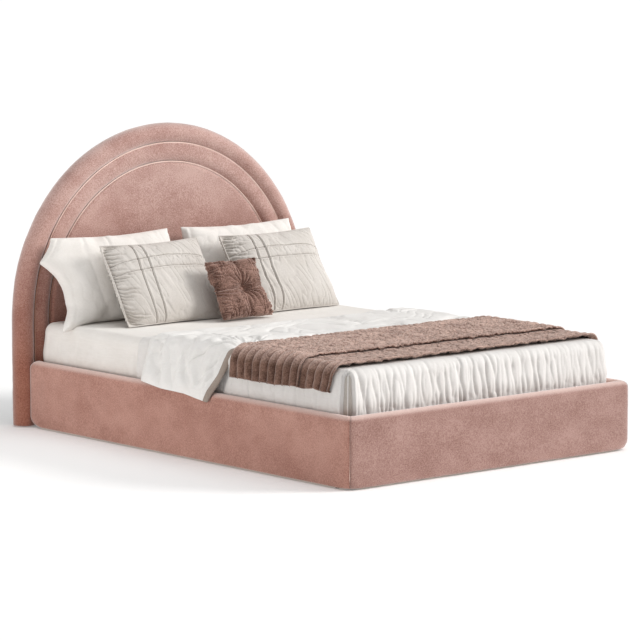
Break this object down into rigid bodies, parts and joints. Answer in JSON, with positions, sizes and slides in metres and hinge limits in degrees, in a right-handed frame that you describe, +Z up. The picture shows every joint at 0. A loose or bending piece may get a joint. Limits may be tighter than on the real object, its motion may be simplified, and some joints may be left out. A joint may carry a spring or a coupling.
{
  "type": "upholstered headboard bed",
  "caption": "Double bed with an arched banded velvet headboard, padded rails, a slatted base, mattress, duvet, folded throw and cushions.",
  "frame": {"origin": "floor level under the middle of the whole bed, halfway between the foot rail's face and the headboard's back", "axes": "+Z up, +Y towards the headboard, -Y towards the foot, +X to the right of somebody who stands at the foot and faces the headboard"},
  "size_m": [1.622, 2.2, 1.2765],
  "materials": {
    "pink_velvet": "dusty pink cotton velvet with a soft sheen",
    "board": "raw chipboard",
    "pine": "planed pine",
    "birch": "laminated birch",
    "black_steel": "black powder coat",
    "zinc_steel": "zinc plated",
    "black_plastic": "moulded black",
    "black_lining": "black non-woven lining",
    "ribbon": "woven ribbon",
    "ticking": "knitted mattress ticking",
    "warm_linen": "washed off-white cotton",
    "white_cotton": "crisp white cotton",
    "greige_sham": "crinkled pale greige cotton with piped pleats",
    "brown_velvet": "brown velvet with a strong sheen",
    "taupe_quilt": "taupe channel-quilted velvet"
  },
  "bodies": {
    "bed_frame": {"headboard_board": "board", "headboard_rim_frame": "pine", "headboard_batten": "pine", "headboard_outer_arch": "pink_velvet", "headboard_middle_arch": "pink_velvet", "headboard_centre_panel": "pink_velvet", "headboard_back_cover": "black_lining", "left_headboard_glide": "black_plastic", "right_headboard_glide": "black_plastic", "left_rail_board": "board", "right_rail_board": "board", "foot_rail_board": "board", "left_rail_cover": "pink_velvet", "right_rail_cover": "pink_velvet", "foot_rail_cover": "pink_velvet", "left_foot_glide": "black_plastic", "right_foot_glide": "black_plastic", "left_foot_bracket": "black_steel", "right_foot_bracket": "black_steel", "left_head_bracket": "black_steel", "right_head_bracket": "black_steel", "left_foot_bracket_side_bolt": "zinc_steel", "left_foot_bracket_end_bolt": "zinc_steel", "left_head_bracket_side_bolt": "zinc_steel", "left_head_bracket_end_bolt": "zinc_steel", "right_foot_bracket_side_bolt": "zinc_steel", "right_foot_bracket_end_bolt": "zinc_steel", "right_head_bracket_side_bolt": "zinc_steel", "right_head_bracket_end_bolt": "zinc_steel", "left_slat_ledger": "pine", "right_slat_ledger": "pine", "left_slat_ribbon": "ribbon", "right_slat_ribbon": "ribbon", "slat_01": "birch", "slat_02": "birch", "slat_03": "birch", "slat_04": "birch", "slat_05": "birch", "slat_06": "birch", "slat_07": "birch", "slat_08": "birch", "slat_09": "birch", "slat_10": "birch", "slat_11": "birch", "centre_beam": "pine", "beam_hanger_foot": "black_steel", "beam_hanger_head": "black_steel", "centre_leg_1": "black_steel", "centre_leg_2": "black_steel"},
    "mattress": {"mattress": "ticking", "fitted_sheet": "warm_linen", "coverlet": "white_cotton", "duvet": "white_cotton", "throw": "taupe_quilt"},
    "left_pillows": {"left_pillow": "warm_linen", "left_cushion": "greige_sham"},
    "right_pillows": {"right_pillow": "warm_linen", "right_cushion": "greige_sham"},
    "tufted_cushion": {"tufted_cushion": "brown_velvet"}
  },
  "joints": [
    {"name": "mattress_lift", "type": "slide", "parent": "bed_frame", "child": "mattress", "axis": [0, 0, 1], "range_m": [0, 0.3]},
    {"name": "left_pillows_slide", "type": "slide", "parent": "mattress", "child": "left_pillows", "axis": [-1, 0, 0], "range_m": [0, 0.3]},
    {"name": "right_pillows_slide", "type": "slide", "parent": "mattress", "child": "right_pillows", "axis": [1, 0, 0], "range_m": [0, 0.3]},
    {"name": "tufted_cushion_lift", "type": "slide", "parent": "mattress", "child": "tufted_cushion", "axis": [0, -0.8829, 0.4695], "range_m": [0, 0.3]}
  ]
}
